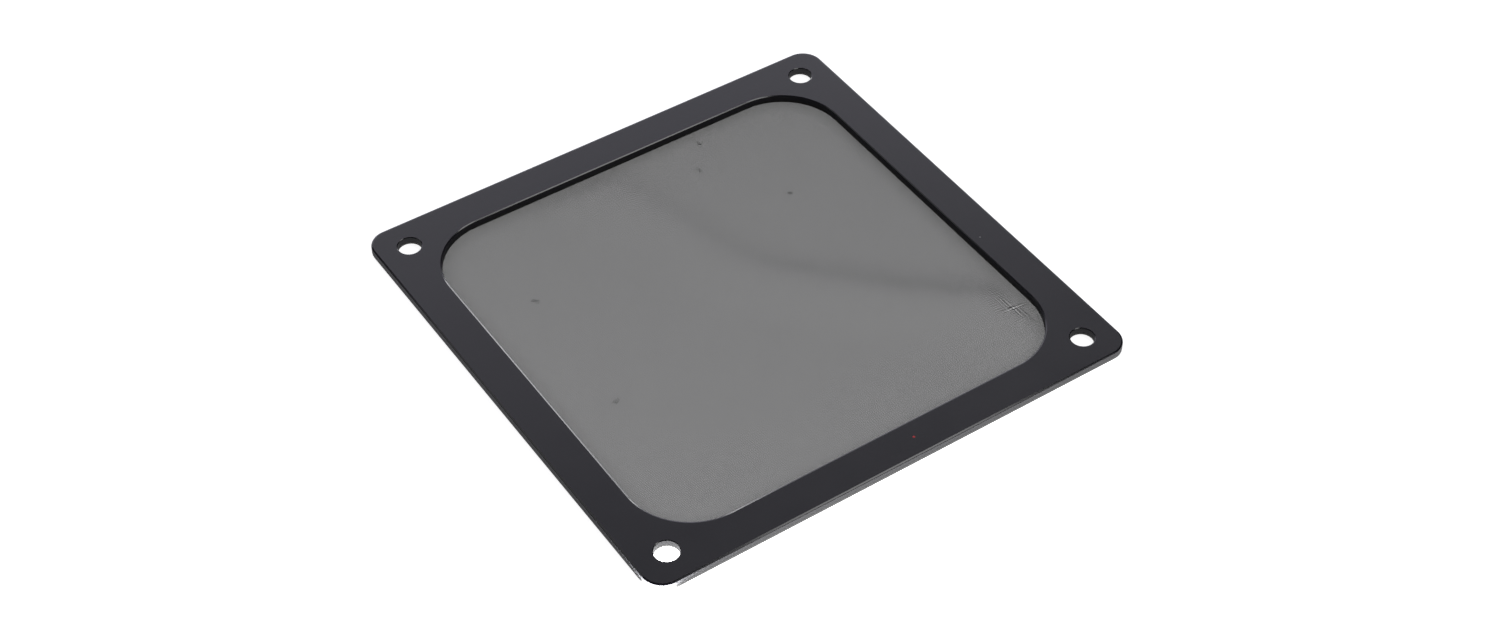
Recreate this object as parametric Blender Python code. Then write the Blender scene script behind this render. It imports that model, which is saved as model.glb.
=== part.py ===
"""Dust filter for a 120 mm fan: a fine woven cloth bonded under a punched frame of two layers.

Metres, +Z up. The origin is the centre of the underside, where the filter lies on a flat surface.
The two frame layers are laminated and then punched in one stroke, so they share one outline, one
opening and one set of screw holes. The cloth is cut larger than the opening and bonded under it.
"""

import math

import bmesh
import bpy

# Screw pattern of the fan, and the plate around it
HOLE_SPACING = 0.105
HOLE_DIAMETER = 0.0053
HOLE_TO_EDGE = 0.0075
OUTER_CORNER_RADIUS = 0.0048

# Opening that the air passes through
RIM_WIDTH = 0.00875
CORNER_LAND = 0.0053  # least material between a screw hole and the opening
BOND_WIDTH = 0.0035  # strip of cloth bonded under the frame, all round the opening
CLOTH_TO_HOLE = 0.0018  # least distance between a screw hole and the cloth

# Layers, from the front down
FRONT_THICKNESS = 0.0012
MAGNET_THICKNESS = 0.00058
CLOTH_WALL = 0.00008
GLUE_LINE = 0.00005  # clearance that the adhesive film fills
ROLLED_EDGE = 0.0003  # radius that punching leaves on the front edges
ROLLED_HOLE_EDGE = 0.00015

# Weave of the cloth, drawn about 40 times coarser than the real threads, with their open share
STRAND_PITCH = 0.0094
STRAND_WIDTH = 0.0028
FLOAT_WIDTH = 0.0022  # a float is the stretch where a strand lies over the one it crosses
FLOAT_BREAK = 0.0014  # a strand's length between two of its floats on opposite faces
FLOAT_SLOPE = 0.0002  # how far a float's top is drawn in from its foot, all round
SHORTEST_FLOAT = 0.0017  # what the opening's wall leaves of a float is left out below this length
FLOAT_HEIGHT = 0.00004
FLOAT_ROOT = 0.00003  # depth that a float is sunk into the wall before they are joined
WEAVE_TO_WALL = 0.0005  # from a float or a gap to the opening's wall

# Facets of the round stretches
OUTER_CORNER_STEPS = 8
OPENING_CORNER_STEPS = 16
HOLE_STEPS = 24
ROLLED_EDGE_STEPS = 3
SHARP_ANGLE = 40  # degrees

# Finish of each layer: colour, roughness
FRONT_FINISH = ((0.020, 0.020, 0.023), 0.48)
MAGNET_FINISH = ((0.012, 0.011, 0.011), 0.75)
CLOTH_FINISH = ((0.17, 0.17, 0.175), 0.70)

# Sizes that follow from the values above
FRAME_WIDTH = HOLE_SPACING + 2 * HOLE_TO_EDGE
OPENING_WIDTH = FRAME_WIDTH - 2 * RIM_WIDTH
HOLE_RADIUS = HOLE_DIAMETER / 2
HOLE_OFFSET = HOLE_SPACING / 2

CLOTH_BOTTOM = FLOAT_HEIGHT
CLOTH_TOP = CLOTH_BOTTOM + CLOTH_WALL
MAGNET_BOTTOM = CLOTH_TOP + GLUE_LINE
MAGNET_TOP = MAGNET_BOTTOM + MAGNET_THICKNESS
FRONT_BOTTOM = MAGNET_TOP + GLUE_LINE
FRONT_TOP = FRONT_BOTTOM + FRONT_THICKNESS


def corner_radius(width, land):
    """The arc that keeps a square this wide a land away from each screw hole, on the diagonal."""
    diagonal = math.sqrt(2)
    beyond_corner = diagonal * (HOLE_OFFSET - width / 2)
    radius = (land + HOLE_RADIUS - beyond_corner) / (diagonal - 1)
    smallest = FRONT_THICKNESS
    largest = width / 2 - smallest
    return min(max(radius, smallest), largest)


OPENING_CORNER_RADIUS = corner_radius(OPENING_WIDTH, CORNER_LAND)
CLOTH_WIDTH = OPENING_WIDTH + 2 * BOND_WIDTH
CLOTH_CORNER_RADIUS = corner_radius(CLOTH_WIDTH, CLOTH_TO_HOLE)


def rounded_square(width, radius, steps):
    """Points of a square with round corners, anticlockwise from its +X side."""
    centre = width / 2 - radius
    points = []
    for quarter, (sx, sy) in enumerate(((1, 1), (-1, 1), (-1, -1), (1, -1))):
        for step in range(steps + 1):
            angle = math.pi / 2 * (quarter + step / steps)
            x = sx * centre + radius * math.cos(angle)
            y = sy * centre + radius * math.sin(angle)
            points.append((x, y))
    return points


def circle(centre, radius, steps):
    """Points of a circle, anticlockwise."""
    angles = (2 * math.pi * step / steps for step in range(steps))
    return [(centre[0] + radius * math.cos(a), centre[1] + radius * math.sin(a)) for a in angles]


def outline(setback):
    """The plate's outer edge, drawn in by the setback."""
    radius = OUTER_CORNER_RADIUS - setback
    return rounded_square(FRAME_WIDTH - 2 * setback, radius, OUTER_CORNER_STEPS)


def opening(setback):
    """The air opening's edge, widened by the setback."""
    radius = OPENING_CORNER_RADIUS + setback
    return rounded_square(OPENING_WIDTH + 2 * setback, radius, OPENING_CORNER_STEPS)


def cloth_edge(setback):
    """The cloth's cut edge, drawn in by the setback."""
    radius = CLOTH_CORNER_RADIUS - setback
    return rounded_square(CLOTH_WIDTH - 2 * setback, radius, OPENING_CORNER_STEPS)


def screw_holes():
    """One function for each screw hole, which gives its edge widened by a setback."""
    centres = [(sx * HOLE_OFFSET, sy * HOLE_OFFSET) for sx in (-1, 1) for sy in (-1, 1)]
    return [lambda setback, c=c: circle(c, HOLE_RADIUS + setback, HOLE_STEPS) for c in centres]


def square_wall(bottom, top):
    """A cut wall as pairs of setback and height: straight from bottom to top."""
    return [(0.0, bottom), (0.0, top)]


def rolled_wall(bottom, top, radius):
    """A cut wall whose upper edge is rounded by the punch."""
    pairs = [(0.0, bottom)]
    for step in range(ROLLED_EDGE_STEPS + 1):
        angle = math.pi / 2 * step / ROLLED_EDGE_STEPS
        setback = radius * (1 - math.cos(angle))
        pairs.append((setback, top - radius + radius * math.sin(angle)))
    return pairs


def punched_plate(cuts):
    """A flat plate bounded by its cuts; each cut is an edge function and the profile of its wall."""
    bm = bmesh.new()
    bottom_edges = []
    top_edges = []
    for edge, wall in cuts:
        rings = []
        for setback, height in wall:
            rings.append([bm.verts.new((x, y, height)) for x, y in edge(setback)])
        for lower, upper in zip(rings, rings[1:]):
            for i in range(len(lower)):
                j = (i + 1) % len(lower)
                bm.faces.new((lower[i], lower[j], upper[j], upper[i]))
        for ring, edges in ((rings[0], bottom_edges), (rings[-1], top_edges)):
            for i in range(len(ring)):
                edges.append(bm.edges.get((ring[i], ring[(i + 1) % len(ring)])))
    bmesh.ops.triangle_fill(bm, edges=bottom_edges, use_beauty=True)
    bmesh.ops.triangle_fill(bm, edges=top_edges, use_beauty=True)
    bmesh.ops.recalc_face_normals(bm, faces=bm.faces)
    return bm


def mesh_data(bm, name, smooth):
    """The bmesh as mesh data, flat, or smooth apart from its sharp edges."""
    mesh = bpy.data.meshes.new(name)
    bm.to_mesh(mesh)
    bm.free()
    if smooth:
        mesh.shade_smooth()
        mesh.set_sharp_from_angle(angle=math.radians(SHARP_ANGLE))
    else:
        mesh.shade_flat()
    return mesh


def material(name, finish):
    colour, roughness = finish
    made = bpy.data.materials.new(name)
    made.use_nodes = True
    shader = made.node_tree.nodes["Principled BSDF"]
    shader.inputs["Base Color"].default_value = (*colour, 1.0)
    shader.inputs["Roughness"].default_value = roughness
    shader.inputs["Metallic"].default_value = 0.0
    return made


def add_part(name, bm, finish, smooth=True):
    part = bpy.data.objects.new(name, mesh_data(bm, name, smooth))
    part.data.materials.append(material(name + "_finish", finish))
    bpy.context.collection.objects.link(part)
    return part


def add_guide(name, bm):
    """A solid that only shapes another one."""
    guide = bpy.data.objects.new(name, mesh_data(bm, name, smooth=False))
    guide.hide_render = True
    guide.display_type = "WIRE"
    bpy.context.collection.objects.link(guide)
    return guide


def add_boolean(part, guide, operation):
    boolean = part.modifiers.new(guide.name, "BOOLEAN")
    boolean.operation = operation
    boolean.solver = "EXACT"
    boolean.object = guide


def front_frame():
    """The front layer of black plastic, with the rolled edges that face the user."""
    rolled = rolled_wall(FRONT_BOTTOM, FRONT_TOP, ROLLED_EDGE)
    rolled_hole = rolled_wall(FRONT_BOTTOM, FRONT_TOP, ROLLED_HOLE_EDGE)
    cuts = [(outline, rolled), (opening, rolled)]
    cuts += [(hole, rolled_hole) for hole in screw_holes()]
    add_part("front_frame", punched_plate(cuts), FRONT_FINISH)


def magnet_frame():
    """The layer of flexible magnet, of the same plan as the front layer."""
    wall = square_wall(MAGNET_BOTTOM, MAGNET_TOP)
    cuts = [(edge, wall) for edge in (outline, opening, *screw_holes())]
    add_part("magnet_frame", punched_plate(cuts), MAGNET_FINISH)


def half_reach(across):
    """Half the opening's width at a distance from its middle line, round corners included."""
    half = OPENING_WIDTH / 2
    straight = half - OPENING_CORNER_RADIUS
    past = max(0.0, abs(across) - straight)
    return straight + math.sqrt(max(0.0, OPENING_CORNER_RADIUS**2 - past**2))


def strand_places():
    """Distances of the strands from the opening's middle line."""
    clear_half = OPENING_WIDTH / 2 - WEAVE_TO_WALL - STRAND_WIDTH / 2
    count = int(clear_half / STRAND_PITCH)
    return [i * STRAND_PITCH for i in range(-count, count + 1)]


def add_float(bm, along, across, start, end, foot, crest):
    """One float: a low bar with sloping sides; along is 0 for X and 1 for Y."""
    rings = []
    for height, inset in ((foot, 0.0), (crest, FLOAT_SLOPE)):
        side = FLOAT_WIDTH / 2 - inset
        flat = [(start + inset, -side), (end - inset, -side), (end - inset, side), (start + inset, side)]
        if along == 0:
            spots = [(a, across + b) for a, b in flat]
        else:
            spots = [(across + b, a) for a, b in flat]
        rings.append([bm.verts.new((x, y, height)) for x, y in spots])
    lower, upper = rings
    bm.faces.new(lower)
    bm.faces.new(upper)
    for i in range(4):
        j = (i + 1) % 4
        bm.faces.new((lower[i], lower[j], upper[j], upper[i]))


def floats(first_along, surface, outward):
    """The floats on one face: the two directions take turns from crossing to crossing."""
    bm = bmesh.new()
    foot = surface - outward * FLOAT_ROOT
    crest = surface + outward * FLOAT_HEIGHT
    places = strand_places()
    half_length = (STRAND_PITCH - FLOAT_BREAK) / 2
    for row, y in enumerate(places):
        for column, x in enumerate(places):
            along = (first_along + row + column) % 2
            middle, across = (x, y) if along == 0 else (y, x)
            limit = half_reach(abs(across) + FLOAT_WIDTH / 2) - WEAVE_TO_WALL
            start = max(middle - half_length, -limit)
            end = min(middle + half_length, limit)
            if end - start > SHORTEST_FLOAT:
                add_float(bm, along, across, start, end, foot, crest)
    bmesh.ops.recalc_face_normals(bm, faces=bm.faces)
    return bm


def gap_cutters():
    """Square cutters between the strands, wherever one fits inside the opening."""
    bm = bmesh.new()
    width = STRAND_PITCH - STRAND_WIDTH
    height = 4 * CLOTH_TOP  # well past both faces
    strands = strand_places()
    places = [strand + STRAND_PITCH / 2 for strand in strands[:-1]]
    for x in places:
        for y in places:
            if half_reach(abs(x) + width / 2) < abs(y) + width / 2 + WEAVE_TO_WALL:
                continue
            made = bmesh.ops.create_cube(bm, size=1.0)["verts"]
            bmesh.ops.scale(bm, vec=(width, width, height), verts=made)
            bmesh.ops.translate(bm, vec=(x, y, CLOTH_TOP), verts=made)
    return bm


def filter_mesh():
    """The woven cloth: one wall whose rim lies under the frame, with floats and gaps inside it."""
    cuts = [(cloth_edge, square_wall(CLOTH_BOTTOM, CLOTH_TOP))]
    cloth = add_part("filter_mesh", punched_plate(cuts), CLOTH_FINISH, smooth=False)
    upper = add_guide("upper_floats", floats(0, CLOTH_TOP, 1))
    lower = add_guide("lower_floats", floats(1, CLOTH_BOTTOM, -1))
    gaps = add_guide("gap_cutters", gap_cutters())
    add_boolean(cloth, upper, "UNION")
    add_boolean(cloth, lower, "UNION")
    add_boolean(cloth, gaps, "DIFFERENCE")


for old in list(bpy.data.objects):
    bpy.data.objects.remove(old)

front_frame()
magnet_frame()
filter_mesh()
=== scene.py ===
# %% [markdown]
# # Dust filter for a 120 mm fan
#
# The real filter is a flat laminate. A black plastic frame is bonded to a flexible magnet of the
# same shape, and a very fine dark cloth closes the opening from below. It lies front up on a
# white light table. The magnet's solid is already the right shape, so it only needs its finish.
# The front layer is built again with the profile that a punch leaves, and the cloth is built
# thread by thread.

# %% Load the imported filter
import math
import random

import bmesh
import bpy
from mathutils import Matrix, Vector


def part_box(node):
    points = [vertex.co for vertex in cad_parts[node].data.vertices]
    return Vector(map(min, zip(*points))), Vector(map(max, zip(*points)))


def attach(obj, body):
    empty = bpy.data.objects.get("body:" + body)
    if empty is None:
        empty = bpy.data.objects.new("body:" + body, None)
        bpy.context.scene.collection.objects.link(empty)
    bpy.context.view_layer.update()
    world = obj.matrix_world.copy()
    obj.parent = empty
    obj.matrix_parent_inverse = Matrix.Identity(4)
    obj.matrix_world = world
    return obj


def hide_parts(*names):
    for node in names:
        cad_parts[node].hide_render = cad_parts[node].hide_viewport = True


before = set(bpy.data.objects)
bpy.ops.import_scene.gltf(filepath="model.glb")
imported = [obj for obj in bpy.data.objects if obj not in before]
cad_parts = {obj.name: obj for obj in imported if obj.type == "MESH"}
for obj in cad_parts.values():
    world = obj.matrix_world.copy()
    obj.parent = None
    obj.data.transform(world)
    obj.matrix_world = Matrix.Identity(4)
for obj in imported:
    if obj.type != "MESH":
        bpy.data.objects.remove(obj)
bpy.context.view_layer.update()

print("nodes:", sorted(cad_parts))

# %% [markdown]
# ## Sizes
#
# Blender works in metres, so `MM` turns millimetres into metres. The script measures the solids
# instead of repeating their sizes. A box gives heights and outer widths. The opening isn't an
# outer size, so it is read from the frame's own corner points. The point that lies farthest from
# the square's diagonals is where a straight side of the opening meets its round corner: its
# larger coordinate is half the opening's width, and the smaller one falls short of that by the
# corner's radius. The outer corner's radius comes from the points on the outer sides in the same
# way. The cloth's corner has the same middle as the opening's, so its radius is larger by the
# strip that is bonded under the frame. Only the screw holes are given as plain sizes.

# %% Measure the layers
MM = 0.001
HOLE_FROM_MIDDLE = 52.5 * MM
HOLE_RADIUS = 2.65 * MM
TOUCHING = 0.001 * MM

front_low, front_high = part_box("front_frame")
magnet_low, magnet_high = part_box("magnet_frame")
cloth_low, cloth_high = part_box("filter_mesh")

frame_half = front_high[0]
frame_top = front_high[2]
cloth_half = cloth_high[0]

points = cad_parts["magnet_frame"].data.vertices
places = [sorted((abs(v.co.x), abs(v.co.y))) for v in points]
side_end, opening_half = max(places, key=lambda place: place[1] - place[0])
opening_corner = opening_half - side_end
frame_corner = frame_half - max(low for low, high in places if high > frame_half - TOUCHING)
cloth_corner = opening_corner + cloth_half - opening_half
print(f"frame {2 * frame_half / MM:.1f} mm wide, opening {2 * opening_half / MM:.2f} mm", end="")
print(f" with corners of {opening_corner / MM:.2f} mm")

# %% [markdown]
# ## Camera
#
# The camera stands a little over half a metre away and looks down at 45 degrees, across one
# corner of the square. It is placed from four plain numbers: the point on the frame's front that
# it looks at, the distance, and two angles. A 60 mm lens gives the mild perspective.

# %% Place the camera
camera_aim = Vector((-2.27 * MM, -7.49 * MM, frame_top))
camera_distance = 537.5 * MM
camera_azimuth = math.radians(34.04)
camera_elevation = math.radians(44.98)
camera_lens = 60.1


def add_camera():
    data = bpy.data.cameras.new("camera")
    data.lens = camera_lens
    data.sensor_width = 36.0
    data.clip_start = 0.01
    data.clip_end = 50.0
    camera = bpy.data.objects.new("camera", data)
    bpy.context.collection.objects.link(camera)
    back = Vector((
        -math.sin(camera_azimuth) * math.cos(camera_elevation),
        -math.cos(camera_azimuth) * math.cos(camera_elevation),
        math.sin(camera_elevation),
    ))
    camera.location = camera_aim + back * camera_distance
    camera.rotation_euler = back.to_track_quat("Z", "Y").to_euler()
    bpy.context.scene.camera = camera
    return camera


camera = add_camera()
print("camera at", [round(c, 4) for c in camera.location])

# %% [markdown]
# ## A small kit for materials
#
# Every finish below is a Principled shader whose colour, roughness and bump come from noise on
# Object coordinates, so it is fixed to the piece and has its real scale. These helpers keep the
# node code short.

# %% Helpers for shader nodes


class Finish:
    """A material whose Principled shader is fed by small chains of nodes."""

    def __init__(self, name):
        self.material = bpy.data.materials.new(name)
        self.material.use_nodes = True
        self.nodes = self.material.node_tree.nodes
        self.links = self.material.node_tree.links
        self.shader = self.nodes["Principled BSDF"]
        self.place = self.nodes.new("ShaderNodeTexCoord").outputs["Object"]

    def feed(self, socket, value):
        if isinstance(value, bpy.types.NodeSocket):
            self.links.new(value, socket)
        else:
            socket.default_value = value

    def noise(self, size, stretch=(1.0, 1.0, 1.0), detail=2.0):
        """Noise whose blotches are about this size, in metres."""
        mapping = self.nodes.new("ShaderNodeMapping")
        mapping.inputs["Scale"].default_value = [s / size for s in stretch]
        texture = self.nodes.new("ShaderNodeTexNoise")
        texture.inputs["Scale"].default_value = 1.0
        texture.inputs["Detail"].default_value = detail
        self.links.new(self.place, mapping.inputs["Vector"])
        self.links.new(mapping.outputs["Vector"], texture.inputs["Vector"])
        return texture.outputs["Fac"]

    def spread(self, value, low, high, start=0.3, end=0.7):
        """Stretches a value between two numbers."""
        node = self.nodes.new("ShaderNodeMapRange")
        node.inputs["From Min"].default_value = start
        node.inputs["From Max"].default_value = end
        node.inputs["To Min"].default_value = low
        node.inputs["To Max"].default_value = high
        self.links.new(value, node.inputs["Value"])
        return node.outputs["Result"]

    def math(self, operation, a, b=0.0):
        node = self.nodes.new("ShaderNodeMath")
        node.operation = operation
        self.feed(node.inputs[0], a)
        self.feed(node.inputs[1], b)
        return node.outputs[0]

    def mix(self, share, a, b):
        """A colour between a and b."""
        node = self.nodes.new("ShaderNodeMix")
        node.data_type = "RGBA"
        self.feed(node.inputs["Factor"], share)
        for socket, colour in ((node.inputs[6], a), (node.inputs[7], b)):
            self.feed(socket, (*colour, 1.0) if isinstance(colour, tuple) else colour)
        return node.outputs[2]

    def grey(self, value):
        """A grey of this brightness, which may be more than 1."""
        node = self.nodes.new("ShaderNodeCombineColor")
        for name in ("Red", "Green", "Blue"):
            self.feed(node.inputs[name], value)
        return node.outputs["Color"]

    def upward(self):
        """1 on faces that look up or down, 0 on cut walls."""
        geometry = self.nodes.new("ShaderNodeNewGeometry")
        split = self.nodes.new("ShaderNodeSeparateXYZ")
        self.links.new(geometry.outputs["Normal"], split.inputs["Vector"])
        return self.math("ABSOLUTE", split.outputs["Z"])

    def mark(self, x, y, radius):
        """1 within this distance of a point of the piece, 0 elsewhere."""
        off = self.nodes.new("ShaderNodeVectorMath")
        off.operation = "DISTANCE"
        off.inputs[1].default_value = (x, y, frame_top)
        self.links.new(self.place, off.inputs[0])
        return self.math("LESS_THAN", off.outputs["Value"], radius)

    def bump(self, height, distance, strength=1.0):
        node = self.nodes.new("ShaderNodeBump")
        node.inputs["Strength"].default_value = strength
        node.inputs["Distance"].default_value = distance
        self.links.new(height, node.inputs["Height"])
        self.links.new(node.outputs["Normal"], self.shader.inputs["Normal"])


print("finish kit ready")

# %% [markdown]
# ## Floor and light
#
# The filter lies on a light table: white acrylic that glows by itself, so the ground stays pure
# white right up to the black frame, and the cut edges are lit by it from the side. On top of that
# even glow, light is painted into the table: the glow is far brighter than white in the near
# corner's screw hole and beside that corner, and along the near right side it fades away from
# there. Under the cloth and the frame shade is painted: the glow is lower and the table darker
# there, darkest next to the frame. One distance draws that patch: how far a point lies inside
# the edge of a rounded square. It is the corner radius less the length that sticks out past a
# smaller square.

# %% Build the light table
FLOOR_SIZE = 6.0
FLOOR_DROP = 0.01 * MM
GLOW = 0.9
# Glow beyond the even white is painted light. It lights the walls in and beside the near corner and along
# the near side.
PAINTED_LIGHT_IN_HOLE = 9.0
PAINTED_LIGHT_AT_CORNER = 52.0
PAINTED_LIGHT_NEAR_CORNER = 4.4
PAINTED_LIGHT_RIGHT_CORNER = 2.2
# The lower glow under the cloth, lowest by the frame, and the darker table there are painted shade.
PAINTED_SHADE_GLOW_UNDER_CLOTH = 0.58
PAINTED_SHADE_GLOW_BY_FRAME = 0.46
SHADE_WIDTH = 3.5 * MM
SHADE_UNDER_FRAME = 4.5 * MM
TABLE_WHITE = (0.8, 0.8, 0.8)
TABLE_SHADED = (0.12, 0.12, 0.12)
TABLE_ROUGHNESS = 0.9
HOLE_PATCH = 3 * MM
HOLE_PATCH_MIDDLE = (-HOLE_FROM_MIDDLE, -HOLE_FROM_MIDDLE)
CORNER_PATCH = 8 * MM
CORNER_PATCH_MIDDLE = (-63 * MM, -63 * MM)


def inside_opening(finish, x, y):
    """How far a point lies inside the edge of the opening, and less than 0 outside."""
    squares = []
    for part in (x, y):
        past = finish.math("SUBTRACT", finish.math("ABSOLUTE", part), side_end)
        squares.append(finish.math("POWER", finish.math("MAXIMUM", past, 0.0), 2.0))
    return finish.math("SUBTRACT", opening_corner, finish.math("SQRT", finish.math("ADD", *squares)))


def in_patch(finish, place, middle, half):
    """1 on a square patch of the table, 0 elsewhere."""
    share = 1.0
    for part, centre in zip(place, middle):
        off = finish.math("ABSOLUTE", finish.math("SUBTRACT", part, centre))
        share = finish.math("MULTIPLY", finish.math("LESS_THAN", off, half), share)
    return share


def table_finish():
    """White that glows, with painted shade under the filter and painted light at the near corner."""
    finish = Finish("light_table")
    split = finish.nodes.new("ShaderNodeSeparateXYZ")
    finish.links.new(finish.place, split.inputs["Vector"])
    x, y = split.outputs["X"], split.outputs["Y"]
    inside = inside_opening(finish, x, y)
    shaded = finish.math("GREATER_THAN", inside, -SHADE_UNDER_FRAME)
    # Painted light: a strip along the near side and square patches at the near corner and its screw hole
    # glow brighter.
    in_front = finish.math("LESS_THAN", y, -frame_half)
    strip = finish.spread(x, PAINTED_LIGHT_NEAR_CORNER, PAINTED_LIGHT_RIGHT_CORNER, start=-frame_half, end=frame_half)
    painted_light = finish.math("MULTIPLY", in_front, strip)
    patches = (
        (HOLE_PATCH_MIDDLE, HOLE_PATCH, PAINTED_LIGHT_IN_HOLE),
        (CORNER_PATCH_MIDDLE, CORNER_PATCH, PAINTED_LIGHT_AT_CORNER),
    )
    for middle, half, brightness in patches:
        patch = in_patch(finish, (x, y), middle, half)
        painted_light = finish.math("ADD", painted_light, finish.math("MULTIPLY", patch, brightness))
    # Painted shade: under the filter the glow drops towards the frame.
    painted_shade_glow = finish.spread(inside, PAINTED_SHADE_GLOW_BY_FRAME, PAINTED_SHADE_GLOW_UNDER_CLOTH, start=0.0, end=SHADE_WIDTH)
    glow = finish.mix(shaded, finish.grey(finish.math("ADD", painted_light, GLOW)), finish.grey(painted_shade_glow))
    finish.feed(finish.shader.inputs["Emission Color"], glow)
    finish.shader.inputs["Emission Strength"].default_value = 1.0
    # Painted shade: the table is darker under the filter.
    finish.feed(finish.shader.inputs["Base Color"], finish.mix(shaded, TABLE_WHITE, TABLE_SHADED))
    finish.shader.inputs["Roughness"].default_value = TABLE_ROUGHNESS
    return finish.material


def add_floor():
    half = FLOOR_SIZE / 2
    corners = [(-half, -half), (half, -half), (half, half), (-half, half)]
    mesh = bpy.data.meshes.new("floor")
    mesh.from_pydata([(x, y, -FLOOR_DROP) for x, y in corners], [], [(0, 1, 2, 3)])
    mesh.materials.append(table_finish())
    floor = bpy.data.objects.new("floor", mesh)
    bpy.context.collection.objects.link(floor)
    return floor


floor = add_floor()
print("light table", floor.dimensions.x, "m wide")

# %% [markdown]
# Above the table hangs a dim tent with one bright side, low behind the filter. The frame's front
# mirrors the edge of that brightness, so it is darkest near the camera and greyer far away. Its
# light is slightly blue, which gives black plastic its cool look in the photograph. Five soft
# panels hang in it. The one overhead, the low one on the right and the one at the back stand
# where the sloped edges mirror them, and draw a thin bright line on the far left edge, the near
# left edge and the right corner of the opening. The dim one on the left keeps the outer left
# edge from going black, and the one in front lifts the cut walls. All of them face the filter
# from the same distance, so two angles, a size and a power describe each.

# %% Hang the tent and the panels
TENT_TINT = (0.8, 0.788, 0.905)
PANEL_DISTANCE = 1.2
# Azimuth and elevation in degrees, width and height in metres, power in watts.
PANELS = {
    "overhead_panel": (9, 66.5, (0.5, 0.2), 1.35),
    "left_panel": (101, 52, (0.4, 0.26), 0.24),
    "front_panel": (-59, 38, (0.4, 0.4), 1.1),
    "right_panel": (43, 25, (0.24, 0.09), 0.45),
    "back_panel": (73, 21, (0.22, 0.12), 0.5),
}


def direction(azimuth, elevation):
    """A unit vector; azimuth is counted from +X towards +Y, and both angles are in degrees."""
    turn, tilt = math.radians(azimuth), math.radians(elevation)
    return Vector((math.cos(turn) * math.cos(tilt), math.sin(turn) * math.cos(tilt), math.sin(tilt)))


def add_panel(name, azimuth, elevation, size, power):
    data = bpy.data.lights.new(name, "AREA")
    data.shape = "RECTANGLE"
    data.size, data.size_y = size
    data.energy = power
    panel = bpy.data.objects.new(name, data)
    bpy.context.collection.objects.link(panel)
    away = direction(azimuth, elevation)
    panel.location = away * PANEL_DISTANCE
    panel.rotation_euler = away.to_track_quat("Z", "Y").to_euler()


def add_tent(bright, dark, azimuth, elevation, inner, outer):
    """A dim sky that turns bright between two angles from one direction, all in degrees."""
    world = bpy.data.worlds.new("tent")
    bpy.context.scene.world = world
    world.use_nodes = True
    nodes = world.node_tree.nodes
    links = world.node_tree.links
    nodes.clear()
    place = nodes.new("ShaderNodeTexCoord")
    towards = nodes.new("ShaderNodeVectorMath")
    towards.operation = "DOT_PRODUCT"
    towards.inputs[1].default_value = direction(azimuth, elevation)
    glow = nodes.new("ShaderNodeMapRange")
    glow.interpolation_type = "SMOOTHSTEP"
    glow.inputs["From Min"].default_value = math.cos(math.radians(outer))
    glow.inputs["From Max"].default_value = math.cos(math.radians(inner))
    glow.inputs["To Min"].default_value = dark
    glow.inputs["To Max"].default_value = bright
    background = nodes.new("ShaderNodeBackground")
    background.inputs["Color"].default_value = (*TENT_TINT, 1.0)
    output = nodes.new("ShaderNodeOutputWorld")
    links.new(place.outputs["Generated"], towards.inputs[0])
    links.new(towards.outputs["Value"], glow.inputs["Value"])
    links.new(glow.outputs["Result"], background.inputs["Strength"])
    links.new(background.outputs["Background"], output.inputs["Surface"])


add_tent(bright=1.83, dark=0.1, azimuth=68.5, elevation=8, inner=29, outer=43)
for name, (azimuth, elevation, size, power) in PANELS.items():
    add_panel(name, azimuth, elevation, size, power)
bpy.context.scene.view_settings.view_transform = "Standard"

# %% [markdown]
# ## The front layer
#
# On the real sheet the punch drags the skin down along every cut: first a shallow slope, then a
# tight round edge, then the upright cut wall. The solid has a plain quarter round there. Under
# the lamps the slope is what shines, as a thin bright line along the opening, so the front layer
# is built again here with that profile. A profile lists how far each ring is set back from the
# cut and how deep it lies, in millimetres. Each cut is a stack of rings: the same outline, a
# little wider or narrower and a little lower each time. Quads between neighbouring rings make the
# edge, and the flat front and back are filled in between the first and the last rings. One ring,
# in the middle of the tight round edge, shades softly. The others are marked sharp, so that the
# slope shades as the flat strip it is.

# %% Build the front layer
OUTER_ROLLOVER = [(0.42, 0.0), (0.10, 0.10), (0.04, 0.145), (0.0, 0.24)]
OPENING_ROLLOVER = [(0.33, 0.0), (0.06, 0.085), (0.02, 0.12), (0.0, 0.2)]
HOLE_ROLLOVER = [(0.21, 0.0), (0.05, 0.05), (0.02, 0.07), (0.0, 0.12)]
SOFT_RING = 2
CORNER_STEPS = 48
HOLE_STEPS = 72


def rounded_square(half, corner):
    """Points round a square with round corners, counterclockwise from its +X +Y corner."""
    middle = half - corner
    places = []
    for quarter, (sx, sy) in enumerate(((1, 1), (-1, 1), (-1, -1), (1, -1))):
        for step in range(CORNER_STEPS + 1):
            angle = math.pi / 2 * (quarter + step / CORNER_STEPS)
            places.append((sx * middle + corner * math.cos(angle), sy * middle + corner * math.sin(angle)))
    return places


def circle(x, y, radius):
    """Points round a screw hole."""
    angles = [2 * math.pi * step / HOLE_STEPS for step in range(HOLE_STEPS)]
    return [(x + radius * math.cos(a), y + radius * math.sin(a)) for a in angles]


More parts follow.
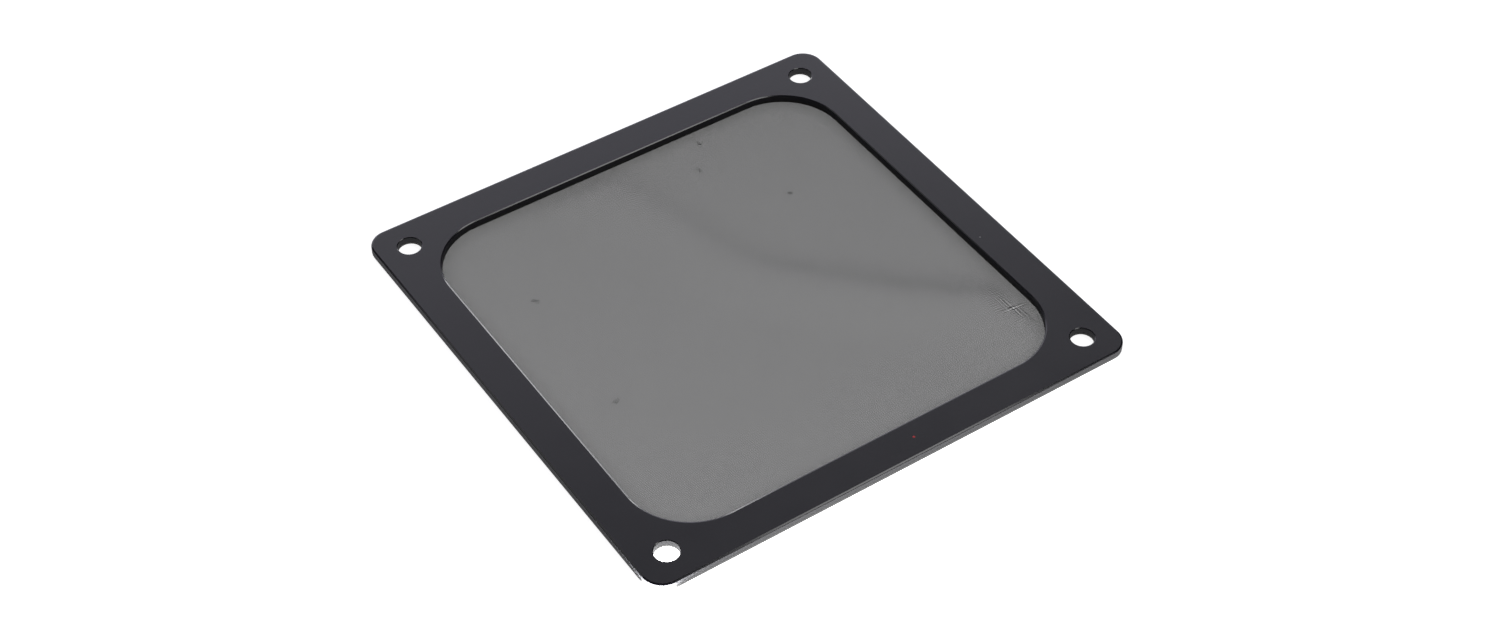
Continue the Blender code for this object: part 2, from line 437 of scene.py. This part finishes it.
def punched_sheet(name, bottom, top, cuts):
    """A sheet bounded by its cuts; each one is a function that draws its outline, and its profile."""
    bm = bmesh.new()
    front, back = [], []
    for outline, profile in cuts:
        levels = [(setback * MM, top - depth * MM) for setback, depth in profile] + [(0.0, bottom)]
        rings = []
        for setback, height in levels:
            rings.append([bm.verts.new((x, y, height)) for x, y in outline(setback)])
        for upper, lower in zip(rings, rings[1:]):
            for i in range(len(upper)):
                bm.faces.new((upper[i - 1], upper[i], lower[i], lower[i - 1]))
        edges = [[bm.edges.get((ring[i - 1], ring[i])) for i in range(len(ring))] for ring in rings]
        for level, ring_edges in enumerate(edges):
            for edge in ring_edges:
                edge.smooth = level == SOFT_RING
        front += edges[0]
        back += edges[-1]
    bmesh.ops.triangle_fill(bm, edges=front, use_beauty=True)
    bmesh.ops.triangle_fill(bm, edges=back, use_beauty=True)
    bmesh.ops.recalc_face_normals(bm, faces=bm.faces)
    mesh = bpy.data.meshes.new(name)
    for face in bm.faces:
        face.smooth = True
    bm.to_mesh(mesh)
    bm.free()
    sheet = bpy.data.objects.new(name, mesh)
    bpy.context.collection.objects.link(sheet)
    return sheet


def outer_outline(setback):
    return rounded_square(frame_half - setback, frame_corner - setback)


def opening_outline(setback):
    return rounded_square(opening_half + setback, opening_corner + setback)


def front_layer():
    cuts = [(outer_outline, OUTER_ROLLOVER), (opening_outline, OPENING_ROLLOVER)]
    for sx in (-1, 1):
        for sy in (-1, 1):
            x, y = sx * HOLE_FROM_MIDDLE, sy * HOLE_FROM_MIDDLE
            cuts.append((lambda setback, x=x, y=y: circle(x, y, HOLE_RADIUS + setback), HOLE_ROLLOVER))
    return punched_sheet("front_sheet", front_low[2], frame_top, cuts)


front_sheet = front_layer()
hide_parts("front_frame")
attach(front_sheet, "root")
print("front sheet:", len(front_sheet.data.polygons), "faces,", end=" ")
print([round(d / MM, 2) for d in front_sheet.dimensions], "mm")

# %% [markdown]
# Its plastic is black and flexible, with a semi-matt skin and a cool tint. Close up it has a fine
# leathery grain and faint cloudy patches where the roller pressed harder. The slopes are burnished
# by the punch, and the cut walls are rough and a little greyer, with fine upright lines. The
# height of the grain is a few hundredths of a millimetre, so bump is enough. Which finish a point
# has follows from how far its face looks up: fully on the skin, a little less on the slopes and
# not at all on the walls. Two specks of lint lie on it, a red one and a grey one, half a
# millimetre across, so they are only colour.

# %% Finish the front layer
FRONT_BLACK = (0.0085, 0.0078, 0.0115)
FRONT_BLACK_PALE = (0.0105, 0.0098, 0.0137)
CUT_GREY = (0.027, 0.027, 0.03)
SLOPE_ROUGHNESS = 0.12
SKIN_ROUGHER_BY = (0.22, 0.25)
WALL_ROUGHER_BY = 0.7
CLOUD_SIZE = 22 * MM
SHEEN_SIZE = 9 * MM
GRAIN_SIZE = 0.35 * MM
PUNCH_LINE_SIZE = 0.25 * MM
PUNCH_LINE_STRETCH = (1.0, 1.0, 0.08)
GRAIN_DEPTH = 0.03 * MM
GRAIN_SHARE_ON_SKIN = 0.5
WALL_LOOKS_UP = (0.1, 0.6)
SKIN_LOOKS_UP = (0.965, 0.99)
# X and Y in millimetres, radius in millimetres, colour.
DUST_ON_FRAME = [(5.7, -55.4, 0.27, (0.8, 0.03, 0.03)), (53.5, -15.7, 0.25, (0.14, 0.14, 0.14))]


def front_finish():
    finish = Finish("front_plastic")
    cloudy = finish.noise(CLOUD_SIZE, detail=3.0)
    grain = finish.noise(GRAIN_SIZE, detail=4.0)
    punch_lines = finish.noise(PUNCH_LINE_SIZE, stretch=PUNCH_LINE_STRETCH)
    skin = finish.mix(finish.spread(cloudy, 0.0, 1.0), FRONT_BLACK, FRONT_BLACK_PALE)
    upward = finish.upward()
    wall = finish.spread(upward, 1.0, 0.0, *WALL_LOOKS_UP)
    flat = finish.spread(upward, 0.0, 1.0, *SKIN_LOOKS_UP)
    colour = finish.mix(wall, skin, CUT_GREY)
    for x, y, radius, dust_colour in DUST_ON_FRAME:
        colour = finish.mix(finish.mark(x * MM, y * MM, radius * MM), colour, dust_colour)
    finish.feed(finish.shader.inputs["Base Color"], colour)
    sheen = finish.spread(finish.noise(SHEEN_SIZE), *SKIN_ROUGHER_BY)
    skin_extra = finish.math("MULTIPLY", flat, sheen)
    wall_extra = finish.math("MULTIPLY", wall, WALL_ROUGHER_BY)
    roughness = finish.math("ADD", finish.math("ADD", skin_extra, wall_extra), SLOPE_ROUGHNESS)
    finish.feed(finish.shader.inputs["Roughness"], roughness)
    on_wall = finish.math("MULTIPLY", punch_lines, wall)
    on_skin = finish.math("MULTIPLY", grain, finish.math("MULTIPLY", flat, GRAIN_SHARE_ON_SKIN))
    finish.bump(finish.math("ADD", on_wall, on_skin), GRAIN_DEPTH, strength=0.4)
    return finish.material


front_sheet.data.materials.append(front_finish())
print("front layer finished")

# %% [markdown]
# ## The magnet layer
#
# Flexible magnet is rubber filled with ferrite powder: matt, nearly black, slightly brown, with a
# powdery speckle. It shows as the darker lower band of the cut edges and on the underside.

# %% Finish the magnet layer
MAGNET_BLACK = (0.009, 0.0085, 0.0085)
MAGNET_POWDER = (0.022, 0.020, 0.019)
MAGNET_ROUGHNESS = (0.62, 0.8)
POWDER_SIZE = 0.12 * MM
MAGNET_GRAIN_SIZE = 0.2 * MM
MAGNET_GRAIN_DEPTH = 0.03 * MM


def magnet_finish():
    finish = Finish("magnet_rubber")
    powder = finish.spread(finish.noise(POWDER_SIZE, detail=1.0), 0.0, 1.0, start=0.5, end=0.75)
    finish.feed(finish.shader.inputs["Base Color"], finish.mix(powder, MAGNET_BLACK, MAGNET_POWDER))
    roughness = finish.spread(powder, *MAGNET_ROUGHNESS, start=0.0, end=1.0)
    finish.feed(finish.shader.inputs["Roughness"], roughness)
    finish.bump(finish.noise(MAGNET_GRAIN_SIZE, detail=3.0), MAGNET_GRAIN_DEPTH, strength=0.6)
    return finish.material


magnet_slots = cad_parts["magnet_frame"].data.materials
magnet_slots.clear()
magnet_slots.append(magnet_finish())
print("magnet layer finished")

# %% [markdown]
# ## The cloth
#
# The cloth is a plain weave of nylon threads 0.075 mm wide, four to the millimetre. From a step
# away it is a smooth grey veil: the light table shines through the open half of it. A picture of
# a veil could be a see-through sheet, but real threads give the right grey from every side by
# themselves, and darken where the cloth tilts. There are nearly 900 of them, so Geometry Nodes
# lay them: one row of points, one straight line of unit length on each, stretched to the
# cloth's width there, lifted by a soft ripple, and turned into a tube. A thread has few points, so
# the ripple is drawn in short straight steps. The points of neighbouring threads are shifted
# against each other, because steps that line up would show as bands. The golden ratio spreads
# those shifts evenly. On the real cloth each thread goes over one and under the next. That can't
# be seen at this size and would take many more points, so here the threads along X lie on those
# along Y, a little less than their own height higher, and touch them.

# %% Helpers for geometry nodes
THREAD_PITCH = 0.25 * MM
THREAD_WIDTH = 0.075 * MM
THREAD_HEIGHT = 0.055 * MM
THREAD_POINTS = 28
GOLDEN_SHARE = 0.618
LAYER_SHARE = 0.46


class Tree:
    """A Geometry Nodes tree with named inputs."""

    def __init__(self, name, inputs):
        self.tree = bpy.data.node_groups.new(name, "GeometryNodeTree")
        self.sockets = {}
        interface = self.tree.interface
        for label, (kind, value) in inputs.items():
            socket = interface.new_socket(label, in_out="INPUT", socket_type=kind)
            if value is not None:
                socket.default_value = value
            self.sockets[label] = socket.identifier
        interface.new_socket("Geometry", in_out="OUTPUT", socket_type="NodeSocketGeometry")
        self.input = self.add("NodeGroupInput")
        self.output = self.add("NodeGroupOutput")

    def add(self, kind, values=None, **settings):
        node = self.tree.nodes.new(kind)
        for name, setting in settings.items():
            setattr(node, name, setting)
        for key, value in (values or {}).items():
            self.feed(node.inputs[key], value)
        return node

    def feed(self, socket, value):
        if isinstance(value, bpy.types.NodeSocket):
            self.tree.links.new(value, socket)
        else:
            socket.default_value = value

    def math(self, operation, a, b=0.0):
        return self.add("ShaderNodeMath", {0: a, 1: b}, operation=operation).outputs[0]

    def vector(self, x=0.0, y=0.0, z=0.0):
        return self.add("ShaderNodeCombineXYZ", {"X": x, "Y": y, "Z": z}).outputs[0]


print("geometry kit ready")

# %% [markdown]
# The ripple is the long soft fold that runs across the cloth from one side to the opposite
# corner. It is described by a curve along its crest: the lift of a thread falls off with its
# distance from that curve like a bell, and fades out before the frame, where the cloth is held.
# The bell is steeper on the far side, which is why only that flank looks dark.

# %% Draw the crest of the ripple
# X and Y in millimetres.
RIPPLE_CREST = [
    (-6, 47), (-1.5, 34), (1, 20), (5.5, 6),
    (13, -2), (25, -15.5), (35, -25.5), (43.5, -31.5),
]
RIPPLE_START_HEIGHT = 0.45 * MM
RIPPLE_END_HEIGHT = 1.1 * MM
RIPPLE_NEAR_WIDTH = 8.5 * MM
RIPPLE_FAR_WIDTH = 3.6 * MM
RIPPLE_FAR_SIDE = (0.83, 0.56, 0.0)
RIPPLE_FADE_START = 0.5 * MM
RIPPLE_FADE_END = 6 * MM


def crest_curve():
    data = bpy.data.curves.new("ripple_crest", "CURVE")
    data.dimensions = "3D"
    data.resolution_u = 8
    spline = data.splines.new("NURBS")
    spline.points.add(len(RIPPLE_CREST) - 1)
    for point, (x, y) in zip(spline.points, RIPPLE_CREST):
        point.co = (x * MM, y * MM, 0.0, 1.0)
    spline.order_u = 4
    spline.use_endpoint_u = True
    curve = bpy.data.objects.new("ripple_crest", data)
    bpy.context.collection.objects.link(curve)
    return curve


crest = crest_curve()
print("ripple crest guided by", len(RIPPLE_CREST), "points")

# %% [markdown]
# Three helpers tell the tree about a thread: how far it reaches from the middle of the cloth,
# which is less where it meets a round corner, how far its points are shifted along it, and how
# high the ripple lifts each of them. Both sets of threads, along X and along Y, use them.

# %% Build the tree that lays the threads


def reach_of_thread(tree, across, half, corner):
    """Half the length of a thread that lies this far from the middle of a rounded square."""
    straight = tree.math("SUBTRACT", half, corner)
    past = tree.math("SUBTRACT", tree.math("ABSOLUTE", across), straight)
    past = tree.math("MAXIMUM", past, 0.0)
    rise = tree.math("SUBTRACT", tree.math("POWER", corner, 2.0), tree.math("POWER", past, 2.0))
    return tree.math("ADD", straight, tree.math("SQRT", tree.math("MAXIMUM", rise, 0.0)))


def slide_along(tree, along, across, reach, inputs):
    """Shifts a thread's points along it by up to half their spacing, but not its ends."""
    turn = tree.math("MULTIPLY", tree.math("DIVIDE", across, inputs["Pitch"]), GOLDEN_SHARE)
    shift = tree.math("SUBTRACT", tree.math("FRACT", turn), 0.5)
    spacing = tree.math("DIVIDE", tree.math("MULTIPLY", reach, 2.0), inputs["Points"])
    fade = tree.math("SUBTRACT", 1.0, tree.math("POWER", tree.math("DIVIDE", along, reach), 2.0))
    return tree.math("MULTIPLY", tree.math("MULTIPLY", shift, spacing), fade)


def ripple_lift(tree, place, inputs):
    """Height of the ripple: a bell around the crest, faded towards the frame."""
    crest_info = tree.add("GeometryNodeObjectInfo", {"Object": inputs["Crest"]})
    crest_line = tree.add("GeometryNodeCurveToMesh", {"Curve": crest_info.outputs["Geometry"]})
    near = tree.add(
        "GeometryNodeProximity",
        {"Geometry": crest_line.outputs["Mesh"], "Sample Position": place},
        target_element="EDGES",
    )
    off = tree.add(
        "ShaderNodeVectorMath", {0: place, 1: near.outputs["Position"]}, operation="SUBTRACT"
    )
    side = tree.add(
        "ShaderNodeVectorMath", {0: off.outputs["Vector"], 1: RIPPLE_FAR_SIDE}, operation="DOT_PRODUCT"
    )
    far = tree.math("GREATER_THAN", side.outputs["Value"], 0.0)
    narrower = tree.math("SUBTRACT", inputs["Ripple Far Width"], inputs["Ripple Near Width"])
    width = tree.math("ADD", inputs["Ripple Near Width"], tree.math("MULTIPLY", far, narrower))
    share = tree.math("DIVIDE", near.outputs["Distance"], width)
    bell = tree.math("EXPONENT", tree.math("MULTIPLY", tree.math("POWER", share, 2.0), -0.5))
    split = tree.add("ShaderNodeSeparateXYZ", {"Vector": place})
    height = tree.add("ShaderNodeMapRange", {
        "Value": split.outputs["X"],
        "From Min": RIPPLE_CREST[0][0] * MM,
        "From Max": RIPPLE_CREST[-1][0] * MM,
        "To Min": inputs["Ripple Start Height"],
        "To Max": inputs["Ripple End Height"],
    })
    lift = tree.math("MULTIPLY", bell, height.outputs["Result"])
    for axis in "XY":
        inside = tree.math("SUBTRACT", inputs["Opening Half"], tree.math("ABSOLUTE", split.outputs[axis]))
        fade = tree.add("ShaderNodeMapRange", {
            "Value": inside,
            "From Min": RIPPLE_FADE_START,
            "From Max": RIPPLE_FADE_END,
            "To Min": 0.0,
            "To Max": 1.0,
        }, interpolation_type="SMOOTHSTEP")
        lift = tree.math("MULTIPLY", lift, fade.outputs["Result"])
    return lift


def lay_threads(tree, inputs, along_x, level):
    """One set of parallel threads, along X or along Y, with its middle at the given height."""
    half, pitch = inputs["Cloth Half"], inputs["Pitch"]
    side = tree.math("FLOOR", tree.math("DIVIDE", half, pitch))
    count = tree.math("ADD", tree.math("MULTIPLY", side, 2.0), 1.0)
    first = tree.math("MULTIPLY", tree.math("MULTIPLY", side, pitch), -1.0)
    start = tree.vector(y=first) if along_x else tree.vector(x=first)
    step = tree.vector(y=pitch) if along_x else tree.vector(x=pitch)
    row = tree.add(
        "GeometryNodeMeshLine",
        {"Count": count, "Start Location": start, "Offset": step},
        mode="OFFSET",
    )
    unit = (1.0, 0.0, 0.0) if along_x else (0.0, 1.0, 0.0)
    line = tree.add(
        "GeometryNodeCurvePrimitiveLine",
        {"Start": [-u for u in unit], "End": unit},
    )
    line = tree.add(
        "GeometryNodeResampleCurve",
        {"Curve": line.outputs["Curve"], "Count": inputs["Points"]},
        mode="COUNT",
    )
    place = tree.add("GeometryNodeInputPosition").outputs["Position"]
    split = tree.add("ShaderNodeSeparateXYZ", {"Vector": place})
    across = split.outputs["Y" if along_x else "X"]
    reach = reach_of_thread(tree, across, half, inputs["Cloth Corner"])
    stretch = tree.vector(x=reach, y=1.0, z=1.0) if along_x else tree.vector(x=1.0, y=reach, z=1.0)
    copies = tree.add(
        "GeometryNodeInstanceOnPoints",
        {"Points": row.outputs["Mesh"], "Instance": line.outputs["Curve"], "Scale": stretch},
    )
    lines = tree.add("GeometryNodeRealizeInstances", {"Geometry": copies.outputs["Instances"]})
    slide = slide_along(tree, split.outputs["X" if along_x else "Y"], across, reach, inputs)
    slid = tree.add("GeometryNodeSetPosition", {
        "Geometry": lines.outputs["Geometry"],
        "Offset": tree.vector(x=slide) if along_x else tree.vector(y=slide),
    })
    lift = tree.math("ADD", ripple_lift(tree, place, inputs), level)
    raised = tree.add(
        "GeometryNodeSetPosition",
        {"Geometry": slid.outputs["Geometry"], "Offset": tree.vector(z=lift)},
    )
    profile = tree.add(
        "GeometryNodeCurvePrimitiveQuadrilateral",
        {"Width": inputs["Width"], "Height": inputs["Height"]},
        mode="RECTANGLE",
    )
    tube = tree.add(
        "GeometryNodeCurveToMesh",
        {"Curve": raised.outputs["Geometry"], "Profile Curve": profile.outputs["Curve"], "Fill Caps": True},
    )
    return tube.outputs["Mesh"]


def weave_tree():
    """Both sets of threads, joined to one mesh and finished."""
    tree = Tree("lay_cloth_threads", {
        "Pitch": ("NodeSocketFloat", THREAD_PITCH),
        "Width": ("NodeSocketFloat", THREAD_WIDTH),
        "Height": ("NodeSocketFloat", THREAD_HEIGHT),
        "Points": ("NodeSocketInt", THREAD_POINTS),
        "Cloth Half": ("NodeSocketFloat", cloth_half),
        "Cloth Corner": ("NodeSocketFloat", cloth_corner),
        "Opening Half": ("NodeSocketFloat", opening_half),
        "Level": ("NodeSocketFloat", 0.0),
        "Ripple Start Height": ("NodeSocketFloat", RIPPLE_START_HEIGHT),
        "Ripple End Height": ("NodeSocketFloat", RIPPLE_END_HEIGHT),
        "Ripple Near Width": ("NodeSocketFloat", RIPPLE_NEAR_WIDTH),
        "Ripple Far Width": ("NodeSocketFloat", RIPPLE_FAR_WIDTH),
        "Crest": ("NodeSocketObject", None),
        "Material": ("NodeSocketMaterial", None),
    })
    inputs = tree.input.outputs
    half_step = tree.math("MULTIPLY", inputs["Height"], LAYER_SHARE)
    upper = tree.math("ADD", inputs["Level"], half_step)
    lower = tree.math("SUBTRACT", inputs["Level"], half_step)
    join = tree.add("GeometryNodeJoinGeometry")
    for along_x, level in ((True, upper), (False, lower)):
        tree.tree.links.new(lay_threads(tree, inputs, along_x, level), join.inputs["Geometry"])
    real = tree.add("GeometryNodeRealizeInstances", {"Geometry": join.outputs["Geometry"]})
    painted = tree.add(
        "GeometryNodeSetMaterial",
        {"Geometry": real.outputs["Geometry"], "Material": inputs["Material"]},
    )
    tree.tree.links.new(painted.outputs["Geometry"], tree.output.inputs["Geometry"])
    return tree


weave = weave_tree()
print("weave tree has", len(weave.tree.nodes), "nodes")

# %% [markdown]
# Nylon thread of this kind is dark grey and slightly glossy. Each thread is thinner than a
# pixel, so its colour and gloss work on the veil as a whole: the slopes of the ripple that face
# the light turn a little paler.

# %% Finish of the threads
THREAD_GREY = (0.022, 0.022, 0.023)
THREAD_GREY_PALE = (0.034, 0.034, 0.035)
THREAD_ROUGHNESS = (0.42, 0.5)
UNEVEN_SIZE = 6 * MM


def thread_finish():
    finish = Finish("mesh_cloth")
    uneven = finish.noise(UNEVEN_SIZE, detail=4.0)
    colour = finish.mix(finish.spread(uneven, 0.0, 1.0), THREAD_GREY, THREAD_GREY_PALE)
    finish.feed(finish.shader.inputs["Base Color"], colour)
    finish.feed(finish.shader.inputs["Roughness"], finish.spread(uneven, *THREAD_ROUGHNESS))
    return finish.material


thread_material = thread_finish()
print("thread finish:", thread_material.name)

# %% [markdown]
# The tree runs as a modifier on an empty mesh. Its inputs are set by the sockets' identifiers,
# before anything is evaluated. The result is then copied to a plain mesh, because the part is kept
# as meshes, and the holder and the crest curve are thrown away.

# %% Lay the threads


def plain_mesh(holder, name):
    """The evaluated result of a holder's modifiers as an object of its own."""
    graph = bpy.context.evaluated_depsgraph_get()
    mesh = bpy.data.meshes.new_from_object(holder.evaluated_get(graph))
    mesh.name = name
    made = bpy.data.objects.new(name, mesh)
    bpy.context.collection.objects.link(made)
    bpy.data.objects.remove(holder)
    return made


def woven_cloth():
    holder = bpy.data.objects.new("weave_holder", bpy.data.meshes.new("weave_holder"))
    bpy.context.collection.objects.link(holder)
    modifier = holder.modifiers.new("weave", "NODES")
    modifier.node_group = weave.tree
    level = cloth_low[2] + THREAD_HEIGHT
    modifier[weave.sockets["Level"]] = level
    modifier[weave.sockets["Crest"]] = crest
    modifier[weave.sockets["Material"]] = thread_material
    cloth = plain_mesh(holder, "woven_cloth")
    cloth.data.shade_smooth()
    return cloth


cloth = woven_cloth()
bpy.data.objects.remove(crest)
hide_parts("filter_mesh")
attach(cloth, "root")
print("threads:", len(cloth.data.polygons), "faces")

# %% [markdown]
# A few bits of fluff are caught in the cloth. Each is a loose row of tiny grains about a
# millimetre long, and every grain sits on the thread nearest to it. None dips below the surface
# that the filter lies on. A fixed seed scatters the grains, so that they come out the same each
# time.

# %% Drop the lint
# X and Y in millimetres.
LINT = [(15.1, 38.8), (28.6, 21.5), (-37.3, 23.2), (-38.0, -11.4), (20.2, 46.7)]
LINT_GRAINS = 26
LINT_STEP = 0.045 * MM
LINT_SPREAD = 0.32 * MM
LINT_BEND = 0.08
LINT_SEED = 11
GRAIN_RADIUS = 0.1 * MM
GRAIN_SHARES = (0.7, 1.1)


def lint_on(cloth):
    """Rows of grains that follow a slightly bent path over the cloth."""
    dice = random.Random(LINT_SEED)
    bpy.context.view_layer.update()
    bm = bmesh.new()
    for x, y in LINT:
        place = Vector((x * MM, y * MM, cloth_high[2]))
        heading = dice.uniform(0, math.pi)
        bend = dice.uniform(-LINT_BEND, LINT_BEND)
        for _ in range(LINT_GRAINS):
            aside = Vector((dice.gauss(0, LINT_SPREAD), dice.gauss(0, LINT_SPREAD), 0.0))
            spot = cloth.closest_point_on_mesh(place + aside)[1]
            radius = GRAIN_RADIUS * dice.uniform(*GRAIN_SHARES)
            spot.z = max(spot.z, radius)
            bmesh.ops.create_icosphere(bm, subdivisions=1, radius=radius, matrix=Matrix.Translation(spot))
            place += LINT_STEP * Vector((math.cos(heading), math.sin(heading), 0.0))
            heading += bend
    mesh = bpy.data.meshes.new("lint")
    bm.to_mesh(mesh)
    bm.free()
    mesh.materials.append(thread_material)
    lint = bpy.data.objects.new("lint", mesh)
    bpy.context.collection.objects.link(lint)
    return lint


lint = lint_on(cloth)
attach(lint, "root")
print("lint:", len(lint.data.polygons), "faces")

# %% [markdown]
# ## The end
#
# The last cell closes the script.

# %% Finish
print("script finished")
